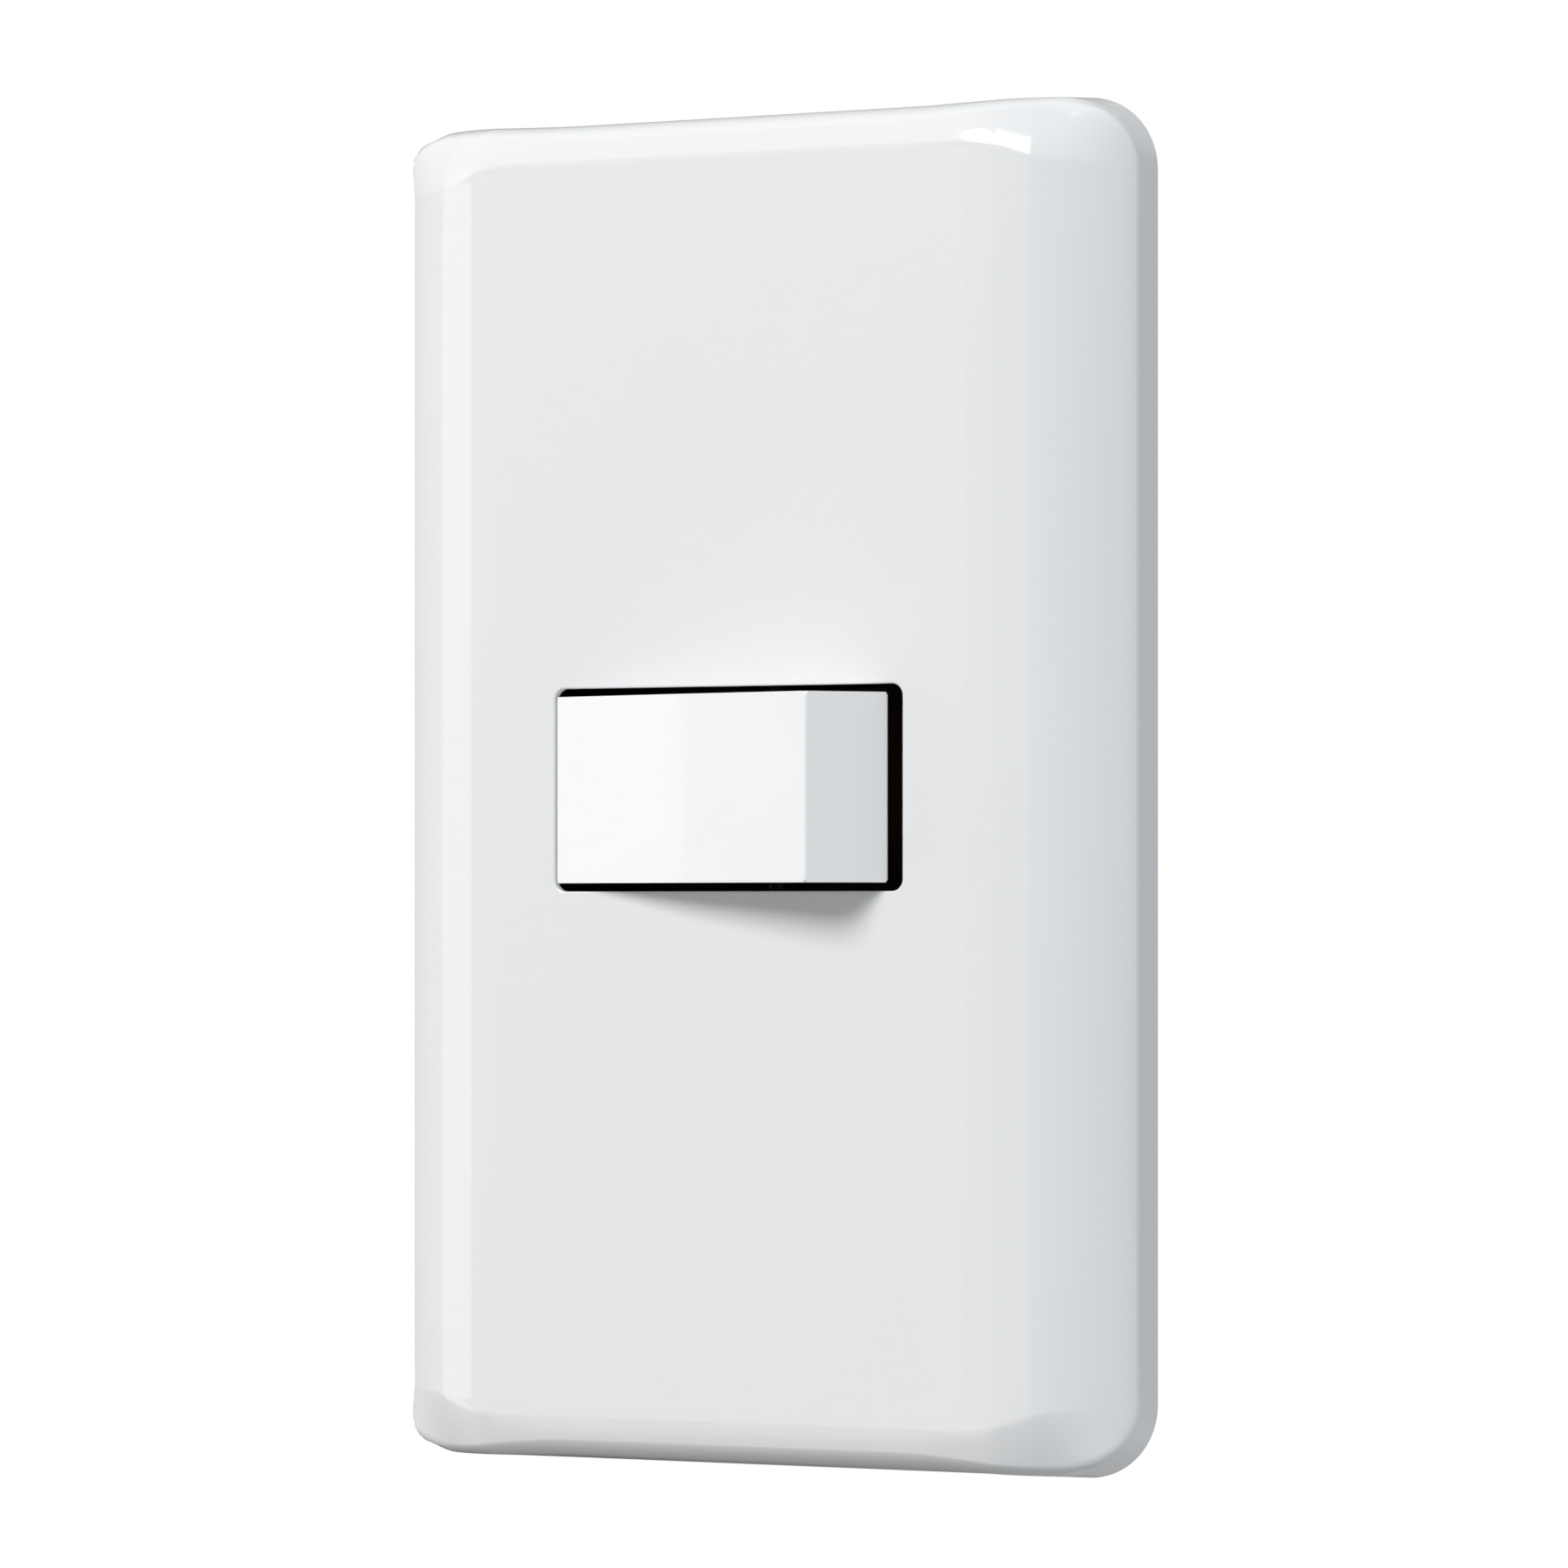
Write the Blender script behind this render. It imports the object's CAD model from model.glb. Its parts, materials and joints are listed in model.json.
"""Looks of the rocker wall switch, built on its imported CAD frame. Lengths are in metres."""

import json
import math

import bmesh
import bpy
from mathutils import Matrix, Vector

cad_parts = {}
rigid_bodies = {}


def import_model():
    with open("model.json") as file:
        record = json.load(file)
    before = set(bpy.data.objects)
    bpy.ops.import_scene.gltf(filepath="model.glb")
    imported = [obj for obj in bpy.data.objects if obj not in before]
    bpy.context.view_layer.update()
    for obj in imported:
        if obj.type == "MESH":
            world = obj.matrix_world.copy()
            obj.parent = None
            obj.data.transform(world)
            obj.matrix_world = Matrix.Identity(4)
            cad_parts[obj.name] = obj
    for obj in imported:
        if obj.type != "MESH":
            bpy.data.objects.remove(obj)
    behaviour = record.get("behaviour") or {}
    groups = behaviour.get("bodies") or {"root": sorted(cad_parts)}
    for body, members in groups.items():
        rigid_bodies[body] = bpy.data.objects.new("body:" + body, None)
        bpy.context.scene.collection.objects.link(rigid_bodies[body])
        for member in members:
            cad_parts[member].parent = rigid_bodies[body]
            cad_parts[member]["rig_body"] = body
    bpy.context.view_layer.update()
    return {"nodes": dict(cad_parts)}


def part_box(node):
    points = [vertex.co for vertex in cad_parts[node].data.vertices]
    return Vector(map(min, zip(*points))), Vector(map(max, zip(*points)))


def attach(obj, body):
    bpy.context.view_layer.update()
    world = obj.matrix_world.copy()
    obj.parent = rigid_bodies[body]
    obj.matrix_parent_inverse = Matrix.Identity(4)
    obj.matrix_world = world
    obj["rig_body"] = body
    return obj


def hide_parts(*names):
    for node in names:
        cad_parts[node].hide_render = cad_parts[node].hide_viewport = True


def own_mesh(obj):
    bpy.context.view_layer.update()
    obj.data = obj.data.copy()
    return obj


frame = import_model()

MM = 0.001
NODES = frame["nodes"]

# ---------------------------------------------------------------------------
# Camera, light and floor
# ---------------------------------------------------------------------------

CAMERA_AZIMUTH = math.radians(27.6)
CAMERA_DISTANCE = 0.6105
CAMERA_DROP = 0.0105
FOCAL_MM = 164.5
SHIFT_UP = 0.0828
LIGHT_AIM = Vector((0, -0.008, 0))


def make_camera():
    """A level camera to the right of the switch and a little below its middle."""
    data = bpy.data.cameras.new("camera")
    data.lens = FOCAL_MM
    data.sensor_width = 36.0
    data.shift_y = SHIFT_UP
    data.clip_start = 0.01
    camera = bpy.data.objects.new("camera", data)
    bpy.context.scene.collection.objects.link(camera)
    side = CAMERA_DISTANCE * math.sin(CAMERA_AZIMUTH)
    back = CAMERA_DISTANCE * math.cos(CAMERA_AZIMUTH)
    camera.location = (side, -back, -CAMERA_DROP)
    camera.rotation_euler = (math.pi / 2, 0, CAMERA_AZIMUTH)
    bpy.context.scene.camera = camera


def make_area(name, azimuth, elevation, distance, size, power):
    """A white soft box that faces the switch. Azimuth 0 is straight in front, positive to the right."""
    data = bpy.data.lights.new(name, "AREA")
    data.shape = "RECTANGLE"
    data.size, data.size_y = size
    data.energy = power
    light = bpy.data.objects.new(name, data)
    bpy.context.scene.collection.objects.link(light)
    az, el = math.radians(azimuth), math.radians(elevation)
    away = Vector((math.sin(az) * math.cos(el), -math.cos(az) * math.cos(el), math.sin(el)))
    light.location = LIGHT_AIM + distance * away
    light.rotation_euler = away.to_track_quat("Z", "Y").to_euler()
    light.visible_camera = False


class Nodes:
    """Short calls for wiring shader nodes in one tree."""

    def __init__(self, tree):
        self.tree = tree

    def add(self, kind, **settings):
        node = self.tree.nodes.new("ShaderNode" + kind)
        for key, value in settings.items():
            setattr(node, key, value)
        return node

    def link(self, source, socket):
        self.tree.links.new(source, socket)

    def math(self, operation, *values):
        node = self.add("Math", operation=operation)
        for socket, value in zip(node.inputs, values):
            if isinstance(value, (int, float)):
                socket.default_value = value
            else:
                self.link(value, socket)
        return node.outputs[0]

    def ramp(self, value, low, high, out_low=0.0, out_high=1.0, smooth=True):
        node = self.add("MapRange")
        node.interpolation_type = "SMOOTHSTEP" if smooth else "LINEAR"
        node.inputs["From Min"].default_value = low
        node.inputs["From Max"].default_value = high
        node.inputs["To Min"].default_value = out_low
        node.inputs["To Max"].default_value = out_high
        self.link(value, node.inputs["Value"])
        return node.outputs["Result"]


def make_world():
    """White behind the switch. For all other rays a soft grey room with large panels in it."""
    world = bpy.data.worlds.new("studio")
    bpy.context.scene.world = world
    world.use_nodes = True
    tree = world.node_tree
    tree.nodes.clear()
    n = Nodes(tree)
    coords = n.add("TexCoord")
    split = n.add("SeparateXYZ")
    n.link(coords.outputs["Generated"], split.inputs[0])
    azimuth = n.math("ARCTAN2", split.outputs["X"], n.math("MULTIPLY", split.outputs["Y"], -1.0))
    azimuth = n.math("MULTIPLY", azimuth, 180 / math.pi)
    elevation = n.math("MULTIPLY", n.math("ARCSINE", split.outputs["Z"]), 180 / math.pi)

    def panel(az, el, az_edges, el_edge, strength):
        """Light from a patch of the room between two azimuths and two elevations."""
        mask = n.ramp(azimuth, az[0] - az_edges[0], az[0] + az_edges[0])
        mask = n.math("MULTIPLY", mask, n.ramp(azimuth, az[1] - az_edges[1], az[1] + az_edges[1], 1.0, 0.0))
        mask = n.math("MULTIPLY", mask, n.ramp(elevation, el[0] - el_edge, el[0] + el_edge))
        mask = n.math("MULTIPLY", mask, n.ramp(elevation, el[1] - el_edge, el[1] + el_edge, 1.0, 0.0))
        return n.math("MULTIPLY", mask, strength)

    total = ROOM
    for axis, end, rise in (("X", 1.0, ROOM_RIGHT), ("Z", 1.0, ROOM_ABOVE), ("Z", -1.0, ROOM_BELOW)):
        total = n.math("ADD", total, n.ramp(split.outputs[axis], 0.0, end, 0.0, rise, smooth=False))
    for patch in PANELS:
        total = n.math("ADD", total, panel(*patch))
    tint = n.add("Mix", data_type="RGBA")
    tint.inputs["A"].default_value = (1.0, 1.0, 1.0, 1)
    tint.inputs["B"].default_value = ROOM_TINT
    n.link(n.ramp(split.outputs["X"], ROOM_TINT_FROM, 1.0), tint.inputs["Factor"])
    room = n.add("Background")
    n.link(tint.outputs["Result"], room.inputs["Color"])
    n.link(total, room.inputs["Strength"])
    seen = n.add("Background")
    seen.inputs["Color"].default_value = (1, 1, 1, 1)
    path = n.add("LightPath")
    mix = n.add("MixShader")
    out = n.add("OutputWorld")
    n.link(path.outputs["Is Camera Ray"], mix.inputs["Fac"])
    n.link(room.outputs[0], mix.inputs[1])
    n.link(seen.outputs[0], mix.inputs[2])
    n.link(mix.outputs[0], out.inputs["Surface"])


# Brightness of the room, what is added to it at the right, above and below, and its tint at the right
ROOM = 0.03
ROOM_RIGHT = 0.52
ROOM_ABOVE = 0.15
ROOM_BELOW = 0.18
ROOM_TINT = (0.93, 0.985, 1.03, 1)
ROOM_TINT_FROM = -0.3
# Panels: azimuths, elevations, softness of their edges, all in degrees, and brightness
PANELS = [
    ((-72.0, -51.2), (-25.0, 25.0), (8.0, 1.0), 8.0, 1.5),
    ((-125.0, -62.0), (-50.0, 60.0), (15.0, 8.0), 8.0, 0.42),
    ((-60.0, 60.0), (-65.0, -12.0), (20.0, 20.0), 10.0, 0.16),
    ((-45.0, -10.0), (33.0, 44.0), (6.0, 3.0), 3.0, 0.1),
    ((-45.0, -10.0), (-39.0, -29.0), (6.0, 6.0), 3.0, 1.4),
    ((1.0, 21.0), (26.0, 46.0), (0.5, 1.5), 1.0, 4.2),
    ((-185.0, 185.0), (62.0, 100.0), (1.0, 1.0), 8.0, 0.4),
    ((95.0, 135.0), (-30.0, 40.0), (5.0, 5.0), 5.0, 0.45),
    ((-200.0, -153.0), (-60.0, 60.0), (1.0, 8.0), 10.0, 0.35),
    ((158.0, 200.0), (-60.0, 60.0), (4.0, 1.0), 10.0, 0.35),
]


def make_floor():
    """A plain pale floor, well under the switch."""
    mesh = bpy.data.meshes.new("floor")
    radius, level, around = 10.0, -1.0, 96
    rim = [(radius * math.cos(2 * math.pi * i / around), radius * math.sin(2 * math.pi * i / around), level)
           for i in range(around)]
    mesh.from_pydata(rim, [], [tuple(range(around))])
    floor = bpy.data.objects.new("floor", mesh)
    bpy.context.scene.collection.objects.link(floor)
    floor.data.materials.append(plastic("floor_paint", (0.85, 0.85, 0.85), roughness=0.6))
    floor.visible_diffuse = False
    floor.visible_glossy = False


# ---------------------------------------------------------------------------
# Materials
# ---------------------------------------------------------------------------

BUMP_STRENGTH = 0.5
PLASTIC_IOR = 1.5


def object_noise(n, scale, detail=3.0, stretch=(1, 1, 1)):
    """Noise fixed to the object's own coordinates, at `scale` waves per metre."""
    coords = n.add("TexCoord")
    mapping = n.add("Mapping")
    mapping.inputs["Scale"].default_value = stretch
    noise = n.add("TexNoise")
    noise.inputs["Scale"].default_value = scale
    noise.inputs["Detail"].default_value = detail
    n.link(coords.outputs["Object"], mapping.inputs["Vector"])
    n.link(mapping.outputs["Vector"], noise.inputs["Vector"])
    return noise.outputs["Fac"]


def start_material(name):
    material = bpy.data.materials.new(name)
    material.use_nodes = True
    return material, Nodes(material.node_tree), material.node_tree.nodes["Principled BSDF"]


def tinted(n, factor, colour, spread, socket):
    """Feeds a colour socket with the colour, moved a little lighter and darker by noise."""
    mix = n.add("Mix", data_type="RGBA")
    mix.inputs["A"].default_value = (*[c * (1 - spread) for c in colour], 1)
    mix.inputs["B"].default_value = (*[min(1, c * (1 + spread)) for c in colour], 1)
    n.link(factor, mix.inputs["Factor"])
    n.link(mix.outputs["Result"], socket)


def bumped(n, height, distance, shader):
    bump = n.add("Bump")
    bump.inputs["Strength"].default_value = BUMP_STRENGTH
    bump.inputs["Distance"].default_value = distance
    n.link(height, bump.inputs["Height"])
    n.link(bump.outputs["Normal"], shader.inputs["Normal"])


def plastic(name, colour, roughness=0.3, spread=0.01, grain=900, grain_depth=0.00001):
    """Moulded plastic: a slight drift of colour and gloss and the fine grain of the mould."""
    material, n, shader = start_material(name)
    shader.inputs["IOR"].default_value = PLASTIC_IOR
    tinted(n, object_noise(n, 45, 2), colour, spread, shader.inputs["Base Color"])
    gloss = n.ramp(object_noise(n, 160, 3), 0.3, 0.7, roughness * 0.85, roughness * 1.15)
    n.link(gloss, shader.inputs["Roughness"])
    bumped(n, object_noise(n, grain, 2), grain_depth, shader)
    return material


def metal(name, colour, roughness=0.3, stretch=(1, 1, 1), grain=1500, grain_depth=0.00001, spread=0.06):
    """Plated or rolled metal, with a grain that runs along one axis when stretched."""
    material, n, shader = start_material(name)
    shader.inputs["Metallic"].default_value = 1.0
    tinted(n, object_noise(n, 120, 3), colour, spread, shader.inputs["Base Color"])
    streaks = object_noise(n, grain, 3, stretch)
    n.link(n.ramp(streaks, 0.3, 0.7, roughness * 0.7, roughness * 1.3), shader.inputs["Roughness"])
    bumped(n, streaks, grain_depth, shader)
    return material


# ---------------------------------------------------------------------------
# Mesh helpers
# ---------------------------------------------------------------------------


def add_piece(name, mesh, body, slot, replaces=()):
    piece = bpy.data.objects.new(name, mesh)
    bpy.context.scene.collection.objects.link(piece)
    piece.data.materials.clear()
    piece.data.materials.append(FINISHES[slot])
    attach(piece, body)
    if replaces:
        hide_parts(*replaces)
    return piece


def mesh_from(bm, name, sharp_angle=32):
    """Finishes a bmesh: outward normals, smooth faces and sharp edges where the angle is large."""
    bmesh.ops.remove_doubles(bm, verts=bm.verts, dist=1e-7)
    bmesh.ops.recalc_face_normals(bm, faces=bm.faces)
    for face in bm.faces:
        face.smooth = True
    mesh = bpy.data.meshes.new(name)
    bm.to_mesh(mesh)
    bm.free()
    mesh.set_sharp_from_angle(angle=math.radians(sharp_angle))
    return mesh


def even_normals(piece):
    """Keeps flat faces looking flat beside rounded edges."""
    modifier = piece.modifiers.new("even_normals", "WEIGHTED_NORMAL")
    modifier.keep_sharp = True
    modifier.weight = 100


def join_rings(bm, rings, wrap=False):
    """Faces between neighbouring closed rings of vertices, where a ring of one vertex is a point.

    wrap joins the last ring to the first.
    """
    pairs = list(zip(rings, rings[1:]))
    if wrap:
        pairs.append((rings[-1], rings[0]))
    for near, far in pairs:
        around = max(len(near), len(far))
        for i in range(around):
            j = (i + 1) % around
            corners = [near[i % len(near)], near[j % len(near)], far[j % len(far)], far[i % len(far)]]
            bm.faces.new(list(dict.fromkeys(corners)))


def circle(middle, radius, side, other, around):
    """Points of a circle in the plane of two unit vectors."""
    angles = [2 * math.pi * i / around for i in range(around)]
    return [middle + radius * (math.cos(a) * side + math.sin(a) * other) for a in angles]


# ---------------------------------------------------------------------------
# Cover plate
# ---------------------------------------------------------------------------

PLATE_LOW, PLATE_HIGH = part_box("cover_plate")
HALF_W, HALF_H = PLATE_HIGH.x, PLATE_HIGH.z
FRONT = PLATE_LOW.y
WALL = 1.6 * MM
RIM_CORNER = 6.3 * MM
# The flat front, the two shallow facets beside it and the crease where the shoulder starts
FLAT_X = 22.3 * MM
FACET_X = 24.7 * MM
CREASE_X = 27.7 * MM
FACET_TILTS = (math.radians(5), math.radians(11.5))
SHOULDER_TILT = math.radians(20.7)
SEAM_X = 34.9 * MM
SEAM_Y = -4.1 * MM
# The top and bottom edges: a facet, a round and a drafted wall
CREASE_Z = 53.25 * MM
CREASE_DIP = 1.35 * MM
CREASE_DIP_POWER = 1.6
CREASE_DIP_BEYOND = 1.2
END_R = 3.5 * MM
END_TURN = math.radians(36)
END_DRAFT = math.radians(6)
END_SLOPES = (math.tan(math.radians(17)), math.tan(math.radians(23)))
END_INSET = 2.2 * MM
CORNER_INSET = 1.3 * MM
SIDE_INSET = 0.1 * MM
# Where the outer crease's inset changes, from the side to the corner and from the corner to the end
CORNER_REACH = 4 * MM
END_INSET_FROM = 28 * MM
END_INSET_RUN = 12 * MM
OPENING = (16.5 * MM, 8.6 * MM)
OPENING_R = 1.0 * MM
OPENING_RELIEF = (0.8 * MM, 0.15 * MM)
OPENING_LIP = 0.7 * MM
FLAT_CORNER_R = 0.8 * MM
CREASE_HALF = 0.12 * MM
CORNER_STEPS = 40
SIDE_STEPS = 8


def smooth(u):
    u = min(1.0, max(0.0, u))
    return u * u * (3 - 2 * u)


def crease_z(x):
    """Height of the crease between the flat front and the end facet, which dips near the corners."""
    if x <= FLAT_X:
        return CREASE_Z
    u = (x - FLAT_X) / (CREASE_X - FLAT_X)
    if u <= 1:
        return CREASE_Z - CREASE_DIP * u ** CREASE_DIP_POWER
    return CREASE_Z - CREASE_DIP * (1 + CREASE_DIP_BEYOND * (u - 1))


def side_drop(x):
    """How far the front has fallen back at a distance x from the middle."""
    drop = max(0.0, min(x, FACET_X) - FLAT_X) * math.tan(FACET_TILTS[0])
    drop += max(0.0, min(x, CREASE_X) - FACET_X) * math.tan(FACET_TILTS[1])
    if x > CREASE_X:
        start = FRONT + side_drop(CREASE_X)
        run, fall = SEAM_X - CREASE_X, SEAM_Y - start
        last = 2 * math.atan2(fall, run) - SHOULDER_TILT
        radius = run / (math.sin(last) - math.sin(SHOULDER_TILT))
        turn = math.asin(min(1.0, math.sin(SHOULDER_TILT) + (x - CREASE_X) / radius))
        drop += radius * (math.cos(SHOULDER_TILT) - math.cos(turn))
    return drop


def end_drop(x, z):
    """How far the end facet has fallen back from there at a height z. It fades out over the shoulder."""
    softness, most_fade = 0.35, 0.9
    beyond = z - crease_z(x)
    soft = softness * max(0.0, x - CREASE_X)
    beyond = (beyond + math.hypot(beyond, soft)) / 2 if soft > 0 else max(0.0, beyond)
    span = END_R * math.sin(END_TURN)
    bend = (END_SLOPES[1] - END_SLOPES[0]) / (2 * span)
    fade = 1 - most_fade * smooth((x - CREASE_X) / (SEAM_X - CREASE_X))
    return (END_SLOPES[0] * beyond + bend * beyond * beyond) * fade


def all_round(values):
    """Repeats the values of one quadrant, from the right middle to the top middle, for a full ring."""
    return values + values[-2::-1] + values[1:] + values[-2:0:-1]


def quadrant_to_ring(quadrant):
    """Mirrors the points of one quadrant into a full ring."""
    count = len(quadrant)
    signs = [(1, 1)] * count + [(-1, 1)] * (count - 1) + [(-1, -1)] * (count - 1) + [(1, -1)] * (count - 2)
    return [(sx * x, sz * z) for (sx, sz), (x, z) in zip(signs, all_round(quadrant))]


def quadrant(side_end, corner, top_start):
    """Points up the side to side_end, round the corner, which is a function of 0..1, and along the top."""
    points = [(side_end[0], side_end[1] * i / SIDE_STEPS) for i in range(SIDE_STEPS)]
    points += [corner(i / CORNER_STEPS) for i in range(CORNER_STEPS + 1)]
    points += [(top_start[0] * (1 - i / SIDE_STEPS), top_start[1]) for i in range(1, SIDE_STEPS + 1)]
    return points


def plain_quadrant(half_w, half_h, radius):
    centre = (half_w - radius, half_h - radius)

    def corner(u):
        a = math.pi / 2 * u
        return centre[0] + radius * math.cos(a), centre[1] + radius * math.sin(a)

    return quadrant((half_w, centre[1]), corner, (centre[0], half_h))


def crease_quadrant(grow=0.0):
    """The crease round the front: its corner is tight, and its top dips towards that corner."""
    radius = 0.4 * MM + grow
    centre = (CREASE_X + grow - radius, crease_z(CREASE_X) + grow - radius)
    last = math.radians(70)
    tight = 0.3

    def corner(u):
        if u <= tight:
            a = last * u / tight
            return centre[0] + radius * math.cos(a), centre[1] + radius * math.sin(a)
        first = centre[0] + radius * math.cos(last)
        x = first + (FLAT_X - first) * (u - tight) / (1 - tight)
        return x, crease_z(x) + grow

    return quadrant((CREASE_X + grow, centre[1]), corner, (FLAT_X, CREASE_Z + grow))


def rim_inset(x):
    """How far inside the rim's outline the outer crease runs. It narrows towards the corners."""
    narrow = SIDE_INSET + (CORNER_INSET - SIDE_INSET) * smooth((HALF_W - x) / CORNER_REACH)
    return narrow + (END_INSET - CORNER_INSET) * smooth((END_INSET_FROM - x) / END_INSET_RUN)


def seam_quadrant(grow=0.0, inset=True):
    """The outer crease, or without its inset the rim itself."""
    centre = (HALF_W - RIM_CORNER, HALF_H - RIM_CORNER)
    top_x = 24 * MM
    arc_share = 0.75

    def inner(x, z, nx, nz):
        back = (rim_inset(x) if inset else 0.0) - grow
        return x - nx * back, z - nz * back

    def corner(u):
        if u <= arc_share:
            a = math.pi / 2 * u / arc_share
            nx, nz = math.cos(a), math.sin(a)
            return inner(centre[0] + RIM_CORNER * nx, centre[1] + RIM_CORNER * nz, nx, nz)
        x = centre[0] + (top_x - centre[0]) * (u - arc_share) / (1 - arc_share)
        return inner(x, HALF_H, 0, 1)

    side = inner(HALF_W, centre[1], 1, 0)
    points = quadrant(side, corner, inner(top_x, HALF_H, 0, 1))
    top = SIDE_STEPS + CORNER_STEPS + 1
    return points[:top] + [inner(x, HALF_H, 0, 1) for x, z in points[top:]]


def on_front(points):
    return [Vector((x, FRONT + side_drop(abs(x)) + end_drop(abs(x), abs(z)), z)) for x, z in points]


def blend_points(a, b, t):
    return [(p[0] + (q[0] - p[0]) * t, p[1] + (q[1] - p[1]) * t) for p, q in zip(a, b)]


def front_rings(steps=18):
    """Rings over the front, from the edge of the flat to the outer crease."""
    shapes = []
    for x, z in ((FLAT_X, CREASE_Z - 1.0 * MM), (FACET_X, CREASE_Z - 0.6 * MM)):
        for grow in (-CREASE_HALF, CREASE_HALF):
            shapes.append(plain_quadrant(x + grow, z + grow, FLAT_CORNER_R))
    shapes += [crease_quadrant(-CREASE_HALF), crease_quadrant(CREASE_HALF)]
    seam = seam_quadrant(-CREASE_HALF / 2)
    for s in range(1, steps + 1):
        shapes.append(blend_points(shapes[5], seam, s / steps))
    return [on_front(quadrant_to_ring(shape)) for shape in shapes]


def wall_rings(seam, steps=14):
    """Rings from the outer crease down to the rim: a round at top and bottom, plain at the sides."""
    rim = quadrant_to_ring(seam_quadrant(inset=False))
    start = END_R * math.sin(END_TURN), END_R * (1 - math.cos(END_TURN))
    last = math.pi / 2 - END_DRAFT
    round_share, side_reach = 0.7, 6 * MM
    side_start, side_jump, side_slope = 0.12, 0.8, 0.2
    rings = []
    for s in range(1, steps + 1):
        v = s / steps
        a = END_TURN + (last - END_TURN) * min(1.0, v / round_share)
        out = (END_R * math.sin(a) - start[0]) / END_INSET
        drop = (END_R * (1 - math.cos(a)) - start[1]) / (-FRONT - start[1])
        if v > round_share:
            u = (v - round_share) / (1 - round_share)
            out, drop = out + (1 - out) * u, drop + (1 - drop) * u
        side_out = min(1.0, v / side_start) * side_jump + side_slope * v
        ring = []
        for p, (rx, rz) in zip(seam, rim):
            w = smooth((HALF_W - abs(rx)) / side_reach) if abs(rz) > HALF_H / 2 else 0.0
            g = out * w + side_out * (1 - w)
            h = drop * w + v * (1 - w)
            ring.append(Vector((p.x + (rx - p.x) * g, p.y * (1 - h), p.z + (rz - p.z) * g)))
        rings.append(ring)
    return rings


def inside_rings(steps=6):
    """The hollow back of the shell, from the rim inwards to the flat."""
    radius, end_gap = 13.7 * MM, 0.02 * MM
    end_radius = END_R - WALL
    last, end_last = math.radians(54), math.pi / 2 - END_DRAFT
    rings = [plain_quadrant(HALF_W - WALL, HALF_H - WALL, RIM_CORNER - WALL)]
    depths = [[0.0] * len(rings[0])]
    for k in range(steps, -1, -1):
        t = k / steps
        x = FLAT_X + (HALF_W - WALL - FLAT_X) * math.sin(last * t) / math.sin(last)
        z = CREASE_Z + end_radius * math.sin(end_last * t) - end_gap
        shape = plain_quadrant(x, z, FLAT_CORNER_R + (RIM_CORNER - WALL - FLAT_CORNER_R) * t)
        side, end = radius * (1 - math.cos(last * t)), end_radius * (1 - math.cos(end_last * t))
        level = []
        for i in range(len(shape)):
            w = smooth((i - SIDE_STEPS) / CORNER_STEPS)
            level.append(FRONT + WALL + side * (1 - w) + end * w)
        rings.append(shape)
        depths.append(level)
    return [[Vector((x, y, z)) for (x, z), y in zip(quadrant_to_ring(shape), all_round(level))]
            for shape, level in zip(rings, depths)]


def opening_rings(edge=0.2 * MM, steps=4):
    """The opening from the plate's back: a wider relief, then the lip and its rounded front edge."""
    relief = plain_quadrant(OPENING[0] + OPENING_RELIEF[0], OPENING[1] + OPENING_RELIEF[1], OPENING_R)
    straight = plain_quadrant(*OPENING, OPENING_R)
    rings = [[(x, FRONT + y, z) for x, z in quadrant_to_ring(shape)]
             for shape, y in ((relief, WALL), (relief, OPENING_LIP), (straight, OPENING_LIP))]
    for i in range(steps + 1):
        a = math.pi / 2 * i / steps
        out, back = edge * (1 - math.cos(a)), edge * (1 - math.sin(a))
        shape = plain_quadrant(OPENING[0] + out, OPENING[1] + out, OPENING_R + out)
        rings.append([(x, FRONT + back, z) for x, z in quadrant_to_ring(shape)])
    return rings


def make_cover_plate():
    bm = bmesh.new()
    front = front_rings()
    rings = opening_rings() + front + wall_rings(front[-1]) + inside_rings()
    join_rings(bm, [[bm.verts.new(p) for p in ring] for ring in rings], wrap=True)
    mesh = mesh_from(bm, "cover_plate_shell", 60)
    piece = add_piece("cover_plate_shell", mesh, "cover", "plate_white", ["cover_plate"])
    even_normals(piece)
    return piece


# ---------------------------------------------------------------------------
# Hard parts
# ---------------------------------------------------------------------------

# The thread of both kinds of screw
THREAD_ROOT = 1.38 * MM
THREAD_CREST = 1.75 * MM
THREAD_PITCH = 0.79 * MM
# A screw head's dome, as distance from the axis and drop, both in shares of the head's radius
DOME = [(0, 0), (0.35, 0.02), (0.75, 0.1), (0.92, 0.2), (1, 0.36)]
# A rivet's head, as radius and depth in millimetres
RIVET_HEAD = [(0.8, 22.0), (1.5, 22.0), (1.48, 22.25), (1.25, 22.5), (0.85, 22.66), (0.62, 22.7),
              (0.48, 22.62), (0.42, 22.3), (0, 22.25)]


def round_off(bm, width, angle):
    """Rounds every edge that turns by more than an angle in degrees."""
    sharp = [e for e in bm.edges if e.calc_face_angle(0) > math.radians(angle)]
    bmesh.ops.bevel(bm, geom=sharp, offset=width, offset_type="OFFSET", segments=2, profile=0.5,
                    affect="EDGES", clamp_overlap=True)


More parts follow.
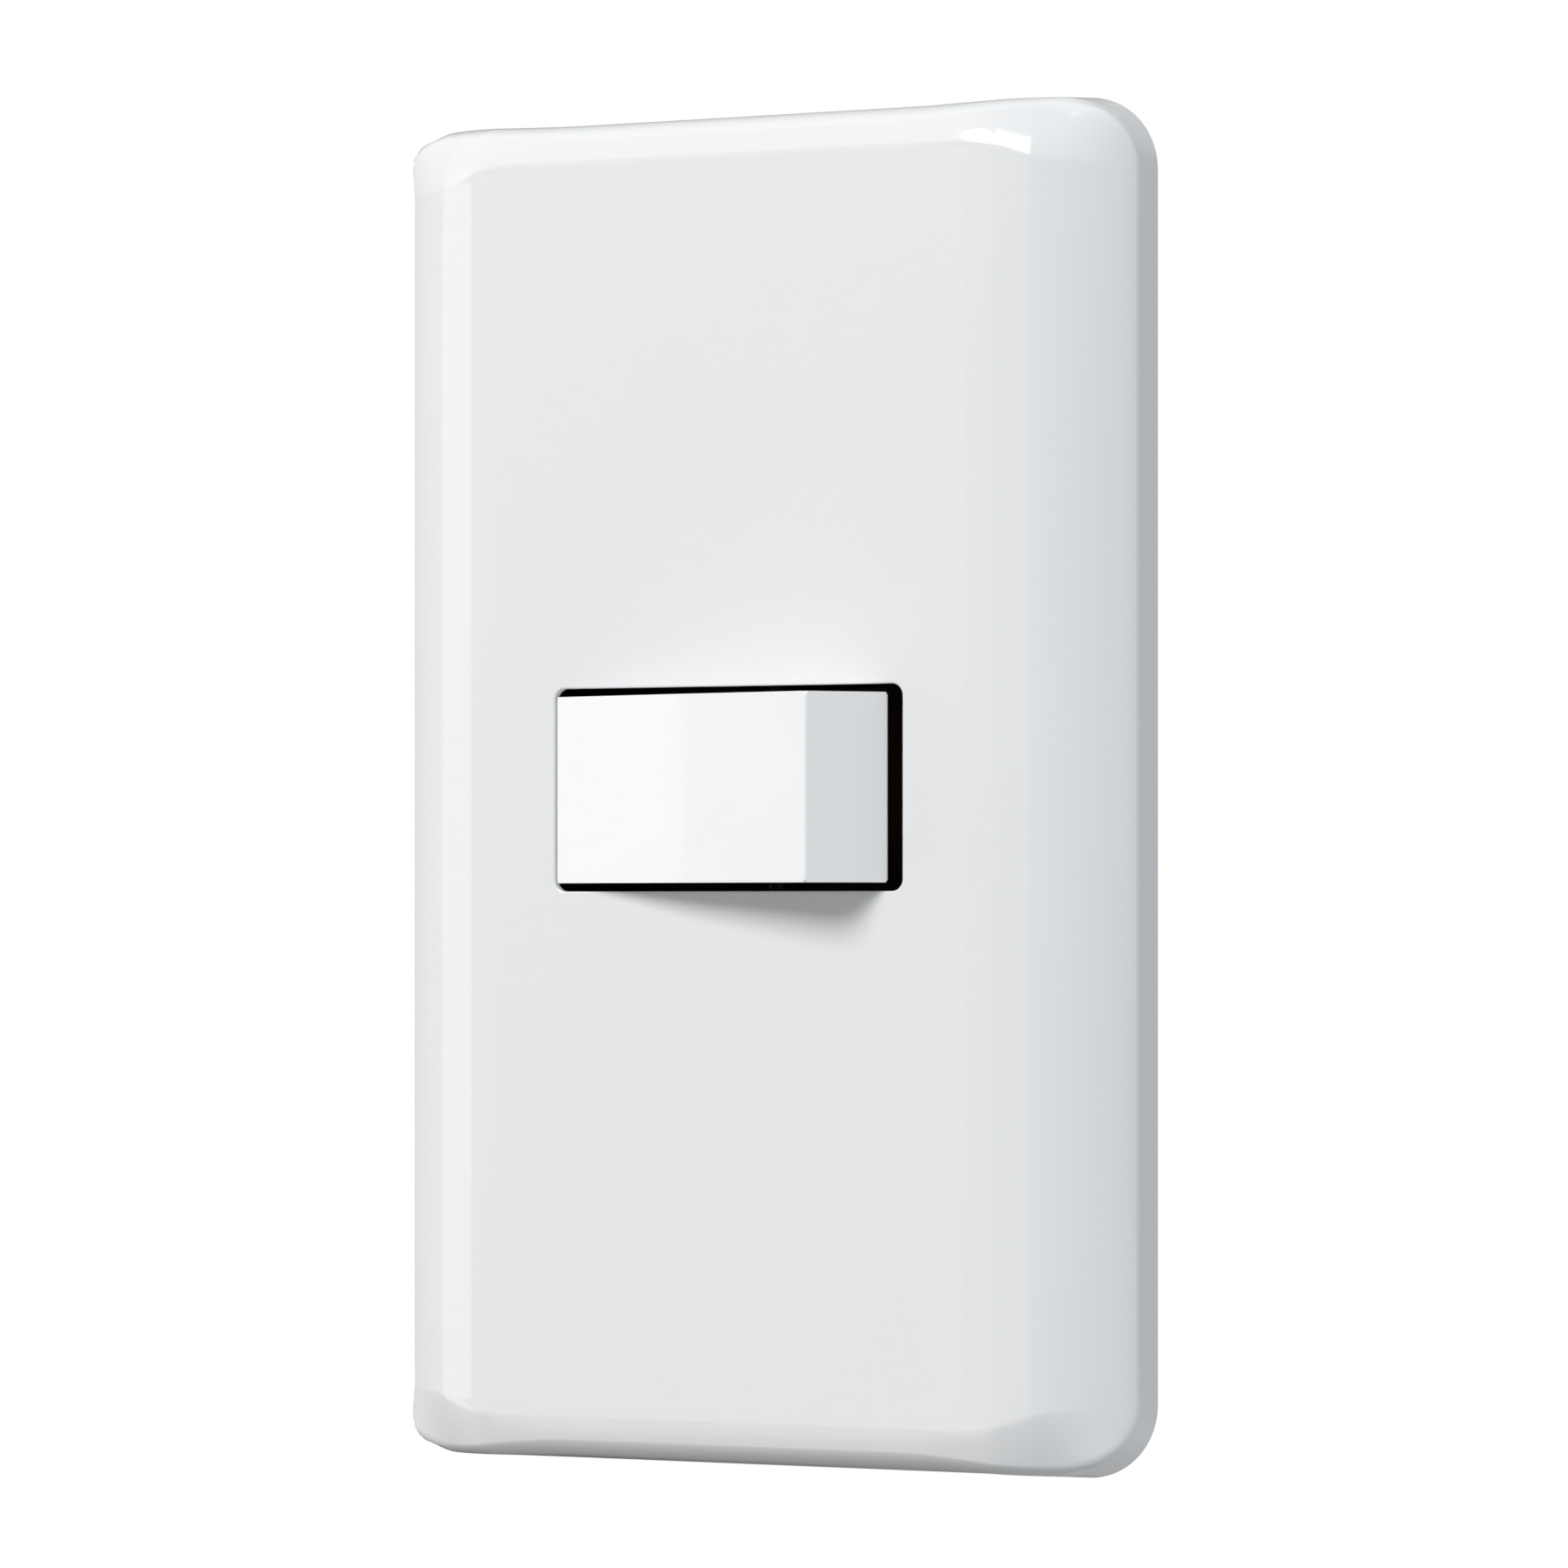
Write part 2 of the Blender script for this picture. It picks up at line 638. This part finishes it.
def softened(node, width):
    """A copy of a CAD node with its sharp edges rounded, as a moulded or stamped part has them."""
    source = NODES[node]
    bm = bmesh.new()
    bm.from_mesh(source.data)
    bmesh.ops.remove_doubles(bm, verts=bm.verts, dist=1e-6)
    bmesh.ops.dissolve_limit(bm, angle_limit=math.radians(0.5), verts=bm.verts, edges=bm.edges)
    round_off(bm, width, 35)
    slot = source.material_slots[0].material.name.split(".")[0]
    name = node + "_finished"
    piece = add_piece(name, mesh_from(bm, name, 50), source["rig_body"], slot, [node])
    even_normals(piece)
    return piece


def lathe(bm, profile, centre, axis, around=32):
    """Turns (radius, distance) pairs about an axis through centre. Radius 0 closes an end."""
    axis = Vector(axis).normalized()
    side = axis.orthogonal().normalized()
    other = axis.cross(side)
    rings = []
    for radius, along in profile:
        middle = Vector(centre) + axis * along
        points = circle(middle, radius, side, other, around) if radius > 0 else [middle]
        rings.append([bm.verts.new(p) for p in points])
    join_rings(bm, rings)


def thread(bm, centre, axis, start, end, around=28, per_turn=8):
    """A screw thread from start to end along an axis, which fades in at its start and out at its point."""
    axis = Vector(axis).normalized()
    side = axis.orthogonal().normalized()
    other = axis.cross(side)
    count = int((end - start) / THREAD_PITCH * per_turn)
    rings = [[bm.verts.new(Vector(centre) + axis * start)]]
    for k in range(count + 1):
        along = start + (end - start) * k / count
        fade = min(1.0, (along - start) / THREAD_PITCH, (end - along) / (1.5 * THREAD_PITCH))
        tip = min(1.0, 0.55 + (end - along) / (2.2 * THREAD_PITCH))
        ring = []
        for i in range(around):
            phase = ((along - start) / THREAD_PITCH - i / around) % 1.0
            ridge = max(0.0, 1 - abs(phase - 0.5) / 0.42)
            height = (THREAD_CREST - THREAD_ROOT) * min(1.0, 1.25 * ridge) * max(0.0, fade)
            radius = (THREAD_ROOT + height) * tip
            a = 2 * math.pi * i / around
            outward = math.cos(a) * side + math.sin(a) * other
            ring.append(bm.verts.new(Vector(centre) + axis * along + radius * outward))
        rings.append(ring)
    rings.append([bm.verts.new(Vector(centre) + axis * end)])
    join_rings(bm, rings)


def add_box(bm, low, high):
    corners = [bm.verts.new((x, y, z)) for x in (low[0], high[0])
               for y in (low[1], high[1]) for z in (low[2], high[2])]
    for face in ((0, 1, 3, 2), (4, 6, 7, 5), (0, 4, 5, 1), (2, 3, 7, 6), (0, 2, 6, 4), (1, 5, 7, 3)):
        bm.faces.new([corners[i] for i in face])


def plain_mesh(bm, name):
    bmesh.ops.recalc_face_normals(bm, faces=bm.faces)
    mesh = bpy.data.meshes.new(name)
    bm.to_mesh(mesh)
    bm.free()
    return mesh


def cut(mesh, cutter):
    """The mesh less the cutter's volume."""
    objects = [bpy.data.objects.new(m.name, m) for m in (mesh, cutter)]
    for o in objects:
        bpy.context.scene.collection.objects.link(o)
    modifier = objects[0].modifiers.new("cut", "BOOLEAN")
    modifier.operation = "DIFFERENCE"
    modifier.solver = "EXACT"
    modifier.object = objects[1]
    graph = bpy.context.evaluated_depsgraph_get()
    result = bpy.data.meshes.new_from_object(objects[0].evaluated_get(graph))
    for o in objects:
        bpy.data.objects.remove(o)
    return result


def slotted_head(bm, centre, axis, radius, low, high, slot_w, slot_d):
    """Adds a slightly domed head with a screwdriver slot. Its flat side is at low, its top at high."""
    head = bmesh.new()
    sign = 1 if high > low else -1
    top = [(share * radius, high - sign * drop * radius) for share, drop in DOME]
    bottom = [(radius, low + sign * 0.06 * radius), (0.95 * radius, low), (0, low)]
    lathe(head, top + bottom, centre, axis, 48)
    mesh = plain_mesh(head, "head")
    knife = bmesh.new()
    along = Vector(axis)
    across = Vector((0, 0, 1))
    other = along.cross(across)
    deep = high - sign * slot_d
    out = high + sign * 0.5 * radius
    ends = [Vector(centre) + along * deep, Vector(centre) + along * out]
    spread = across * slot_w / 2 + other * radius * 1.2
    low_corner = [min(ends[0][i], ends[1][i]) - abs(spread[i]) for i in range(3)]
    high_corner = [max(ends[0][i], ends[1][i]) + abs(spread[i]) for i in range(3)]
    add_box(knife, low_corner, high_corner)
    bm.from_mesh(cut(mesh, plain_mesh(knife, "knife")))


def make_box_screws():
    head_r, seat, slot_w, slot_d = 3.4 * MM, -1.9 * MM, 1.0 * MM, 1.2 * MM
    shank_r, shank_from, shank_to, thread_from = 1.5 * MM, -2.0 * MM, 0.5 * MM, 0.2 * MM
    shank = [(0, shank_from), (shank_r, shank_from), (shank_r, shank_to), (0, shank_to)]
    low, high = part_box("box_screws")
    reach = (high.z - low.z) / 2 - head_r
    bm = bmesh.new()
    for z in (-reach, reach):
        centre = (0, 0, z)
        slotted_head(bm, centre, (0, 1, 0), head_r, seat, low.y, slot_w, slot_d)
        lathe(bm, shank, centre, (0, 1, 0))
        thread(bm, centre, (0, 1, 0), thread_from, high.y)
    mesh = mesh_from(bm, "box_screws_threaded", 40)
    return add_piece("box_screws_threaded", mesh, "strap", "screw_steel", ["box_screws"])


def make_terminal_screws():
    head_r, seat, slot_w, slot_d = 3.2 * MM, 15.95 * MM, 0.9 * MM, 1.0 * MM
    thread_from, thread_to = 12.65 * MM, 16.2 * MM
    low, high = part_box("terminal_screws")
    centre = (0, (low.y + high.y) / 2, 0)
    bm = bmesh.new()
    for side in (-1, 1):
        slotted_head(bm, centre, (1, 0, 0), head_r, side * seat, side * high.x, slot_w, slot_d)
        thread(bm, centre, (side, 0, 0), thread_from, thread_to)
    mesh = mesh_from(bm, "terminal_screws_threaded", 40)
    return add_piece("terminal_screws_threaded", mesh, "strap", "screw_steel", ["terminal_screws"])


def make_rivets():
    """Semi-tubular rivets with domed, dimpled heads."""
    low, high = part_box("housing_rivets")
    head_r = 1.5 * MM
    x, z = high.x - head_r, high.z - head_r
    profile = [(0, low.y), (RIVET_HEAD[0][0] * MM, low.y)] + [(r * MM, a * MM) for r, a in RIVET_HEAD]
    bm = bmesh.new()
    for sx in (-1, 1):
        for sz in (-1, 1):
            lathe(bm, profile, (sx * x, 0, sz * z), (0, 1, 0), 28)
    mesh = mesh_from(bm, "housing_rivets_turned", 40)
    return add_piece("housing_rivets_turned", mesh, "strap", "terminal_brass", ["housing_rivets"])


# ---------------------------------------------------------------------------
# Rocker
# ---------------------------------------------------------------------------

PIVOT_Y = -1.0 * MM
TILT = math.radians(12.7)
KEY_HALF_H = 7.9 * MM
KEY_WALL = 1.3 * MM
KEY_FOOT = (17.058 * MM, 5.9 * MM)
KEY_EDGE = (13.8 * MM, 12.85 * MM)
KEY_RIDGE = 13.25 * MM
KEY_EDGE_R = 0.3 * MM
KEY_FOOT_R = 0.2 * MM
KEY_SIDE_R = 0.3 * MM
KEY_RIM_W = 0.9 * MM
# The soft ridge where the two slopes meet: distance from the middle and fall, in millimetres
KEY_RIDGE_ROUND = [(1.7, 0.05), (0.9, 0.018), (0, 0.008)]


def from_rocker(x, y, z):
    """A point of the rocker's own frame, which has the pivot at its origin, as the rocker stands at rest."""
    across = x * math.cos(TILT) + y * math.sin(TILT)
    back = -x * math.sin(TILT) + y * math.cos(TILT) + PIVOT_Y
    return Vector((across, back, z))


def filleted(points, radii, steps=4):
    """An open outline with each inner corner rounded."""
    result = [points[0]]
    for before, corner, after, radius in zip(points, points[1:], points[2:], radii):
        a, b, c = Vector(before), Vector(corner), Vector(after)
        u, v = (a - b).normalized(), (c - b).normalized()
        half = u.angle(v) / 2
        reach = min(radius / math.tan(half), 0.45 * (a - b).length, 0.45 * (c - b).length)
        for i in range(steps + 1):
            t = i / steps
            # A quadratic curve is close enough to an arc at this size
            q = (b + u * reach) * (1 - t) ** 2 + 2 * t * (1 - t) * b + (b + v * reach) * t ** 2
            result.append((q.x, q.y))
    result.append(points[-1])
    return result


def key_outline(inset):
    """Outline of the key from its left foot over the face to its right foot, set in by the wall."""
    lean = (KEY_FOOT[0] - KEY_EDGE[0]) / (KEY_EDGE[1] - KEY_FOOT[1])
    side = inset * math.hypot(1, lean)
    edge_x = KEY_EDGE[0] + inset * lean - side
    right = [(KEY_FOOT[0] - side, -KEY_FOOT[1]), (edge_x, inset - KEY_EDGE[1])]
    ridge = inset - KEY_RIDGE
    middle = [(x * MM, ridge + fall * MM) for x, fall in KEY_RIDGE_ROUND]
    points = right + middle
    points += [(-x, y) for x, y in reversed(points[:-1])]
    return points[::-1]


def make_key():
    """The hollow key: rounded edges outside, a plain shell inside, and a flat rim at its foot."""
    bm = bmesh.new()
    for inset, half_h, rounding in ((0.0, KEY_HALF_H, KEY_SIDE_R), (KEY_WALL, KEY_HALF_H - KEY_WALL, 0.0)):
        outline = key_outline(inset)
        if rounding:
            # The outside starts and ends on the foot's flat rim, and its feet and edges are rounded
            rim = [(sx * (KEY_FOOT[0] - KEY_RIM_W), -KEY_FOOT[1]) for sx in (-1, 1)]
            radii = [KEY_FOOT_R, KEY_EDGE_R]
            outline = filleted([rim[0]] + outline[:3], radii, 6)[:-1] + outline[2:-2] \
                + filleted(outline[-3:] + [rim[1]], radii[::-1], 6)[1:]
        low = [bm.verts.new((x, y, -half_h)) for x, y in outline]
        high = [bm.verts.new((x, y, half_h)) for x, y in outline]
        for i in range(len(outline) - 1):
            bm.faces.new((low[i], low[i + 1], high[i + 1], high[i]))
        bm.faces.new(low)
        bm.faces.new(high)
        if rounding:
            ends = (low[0], low[-1], high[0], high[-1])
            borders = [e for e in bm.edges if abs(e.verts[0].co.z - e.verts[1].co.z) < 1e-9
                       and not (e.verts[0] in ends and e.verts[1] in ends)]
            bmesh.ops.bevel(bm, geom=borders, offset=rounding, offset_type="OFFSET", segments=4, profile=0.5,
                            affect="EDGES", clamp_overlap=False)
    open_edges = [e for e in bm.edges if len(e.link_faces) == 1]
    bmesh.ops.bridge_loops(bm, edges=open_edges)
    for v in bm.verts:
        v.co = from_rocker(*v.co)
    mesh = mesh_from(bm, "rocker_key_moulding", 40)
    piece = add_piece("rocker_key_moulding", mesh, "rocker", "key_white", ["rocker_key"])
    even_normals(piece)
    return piece


def make_spring():
    """The coil spring behind the plunger, with closed end turns."""
    bm = bmesh.new()
    coil_r, wire_r = 1.2 * MM, 0.17 * MM
    tube_roof, start, end = -7.5 * MM, -7.45 * MM + wire_r, 3.55 * MM - wire_r
    turns, per_turn, around = 11, 20, 8
    rings = []
    for k in range(turns * per_turn + 1):
        t = k / (turns * per_turn)
        # The first and the last turn lie flat
        eased = smooth((t * turns - 0.8) / (turns - 1.6))
        straight = min(1.0, max(0.0, (t * turns - 1.0) / (turns - 2.0)))
        rise = straight * 0.9 + 0.1 * eased
        a = 2 * math.pi * turns * t
        y = start + (end - start) * rise
        outward = Vector((math.cos(a), 0, math.sin(a)))
        middle = Vector((coil_r * math.cos(a), y, coil_r * math.sin(a)))
        wire = circle(middle, wire_r, outward, Vector((0, 1, 0)), around)
        rings.append([bm.verts.new(from_rocker(*q)) for q in wire])
    join_rings(bm, rings)
    bm.faces.new(rings[0])
    bm.faces.new(rings[-1])
    mesh = mesh_from(bm, "plunger_spring_coil", 60)
    piece = add_piece("plunger_spring_coil", mesh, "rocker", "spring_steel", ["plunger_spring"])
    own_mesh(piece)
    return piece


def make_plate_hooks():
    """The four hooks on the back of the cover plate, each with two gussets."""
    bm = bmesh.new()
    hook_x, hook_z, half, rib, edge_r = 17.0, 30 * MM, 3.0 * MM, 0.9 * MM, 0.12 * MM
    # A depth of None is the root, which reaches a hair into the plate
    back = FRONT + WALL - 0.01 * MM
    hook = [(-0.65, None), (0.65, None), (0.65, 0.15), (1.15, 0.3), (1.15, 0.42), (0.65, 1.6), (-0.65, 1.6)]
    gusset = [(0.6, None), (2.4, None), (0.6, -4.6)]
    slabs = ((hook, -half, half), (gusset, -half, -half + rib), (gusset, half - rib, half))
    for sx in (-1, 1):
        for sz in (-1, 1):
            for outline, z0, z1 in slabs:
                points = [(sx * (hook_x + x) * MM, back if y is None else y * MM) for x, y in outline]
                low = [bm.verts.new((x, y, sz * hook_z + z0)) for x, y in points]
                high = [bm.verts.new((x, y, sz * hook_z + z1)) for x, y in points]
                for i in range(len(points)):
                    j = (i + 1) % len(points)
                    bm.faces.new((low[i], low[j], high[j], high[i]))
                bm.faces.new(low)
                bm.faces.new(high)
    bmesh.ops.recalc_face_normals(bm, faces=bm.faces)
    round_off(bm, edge_r, 30)
    mesh = mesh_from(bm, "cover_plate_hooks", 50)
    piece = add_piece("cover_plate_hooks", mesh, "cover", "plate_white", ["cover_plate"])
    even_normals(piece)
    return piece


# ---------------------------------------------------------------------------
# Build
# ---------------------------------------------------------------------------

PIN_BLACK = metal("pin_black", (0.05, 0.05, 0.052), roughness=0.35, grain_depth=0.000003)
FINISHES = {
    "plate_white": plastic("plate_white", (0.825, 0.832, 0.84), roughness=0.06,
                           grain=500, grain_depth=0.0000005),
    "key_white": plastic("key_white", (0.9, 0.9, 0.9), roughness=0.14, grain_depth=0.000001),
    "module_black": plastic("module_black", (0.022, 0.022, 0.023), roughness=0.35),
    "cover_grey": plastic("cover_grey", (0.045, 0.045, 0.048), roughness=0.4),
    "carrier_grey": plastic("carrier_grey", (0.16, 0.16, 0.165), roughness=0.45),
    "plunger_ivory": plastic("plunger_ivory", (0.78, 0.73, 0.58), roughness=0.3),
    "barrier_brown": plastic("barrier_brown", (0.16, 0.075, 0.035), roughness=0.55, spread=0.08),
    "washer_red": plastic("washer_red", (0.42, 0.06, 0.045), roughness=0.7, spread=0.12),
    "zinc_steel": metal("zinc_steel", (0.62, 0.63, 0.64), roughness=0.34, stretch=(1, 1, 0.05), spread=0.04,
                        grain_depth=0.000004),
    "spring_steel": metal("spring_steel", (0.55, 0.55, 0.56), roughness=0.2),
    "screw_steel": metal("screw_steel", (0.66, 0.66, 0.65), roughness=0.25, grain_depth=0.000003),
    "terminal_brass": metal("terminal_brass", (0.78, 0.57, 0.25), roughness=0.25, spread=0.03,
                            grain_depth=0.000003),
    "blade_copper": metal("blade_copper", (0.78, 0.42, 0.26), roughness=0.25, grain_depth=0.000003),
    "contact_silver": metal("contact_silver", (0.83, 0.82, 0.80), roughness=0.2, grain_depth=0.000003),
}

# How much the edges of the other moulded and stamped parts are rounded
EDGES = {
    "rocker_carrier": 0.15 * MM, "contact_blade": 0.1 * MM, "line_terminal": 0.1 * MM,
    "load_terminal": 0.1 * MM, "terminal_clamps": 0.12 * MM, "arc_barrier": 0.08 * MM,
    "pivot_pins": 0.12 * MM, "module_bezel": 0.2 * MM, "module_housing": 0.2 * MM,
    "rear_cover": 0.2 * MM, "module_clips": 0.1 * MM, "mounting_strap": 0.2 * MM,
    "screw_retainers": 0.06 * MM,
}

make_camera()
make_world()
make_floor()
# Azimuth, elevation, distance, size and power
make_area("key", -12.5, 34.0, 2.0, (0.80, 0.76), 27.4)
make_area("back_fill", 232.0, 0.0, 1.2, (0.6, 0.6), 3.5)
make_cover_plate()
make_plate_hooks()
make_key()
make_spring()
make_box_screws()
make_terminal_screws()
make_rivets()
for cad_node, edge_width in EDGES.items():
    softened(cad_node, edge_width)

# The pins are blackened, so that they don't shine in the gap beside the key
bpy.data.objects["pivot_pins_finished"].material_slots[0].material = PIN_BLACK

for name, node in NODES.items():
    for slot in node.material_slots:
        slot.material = FINISHES[slot.material.name.split(".")[0]]

bpy.context.scene.view_settings.view_transform = "Standard"
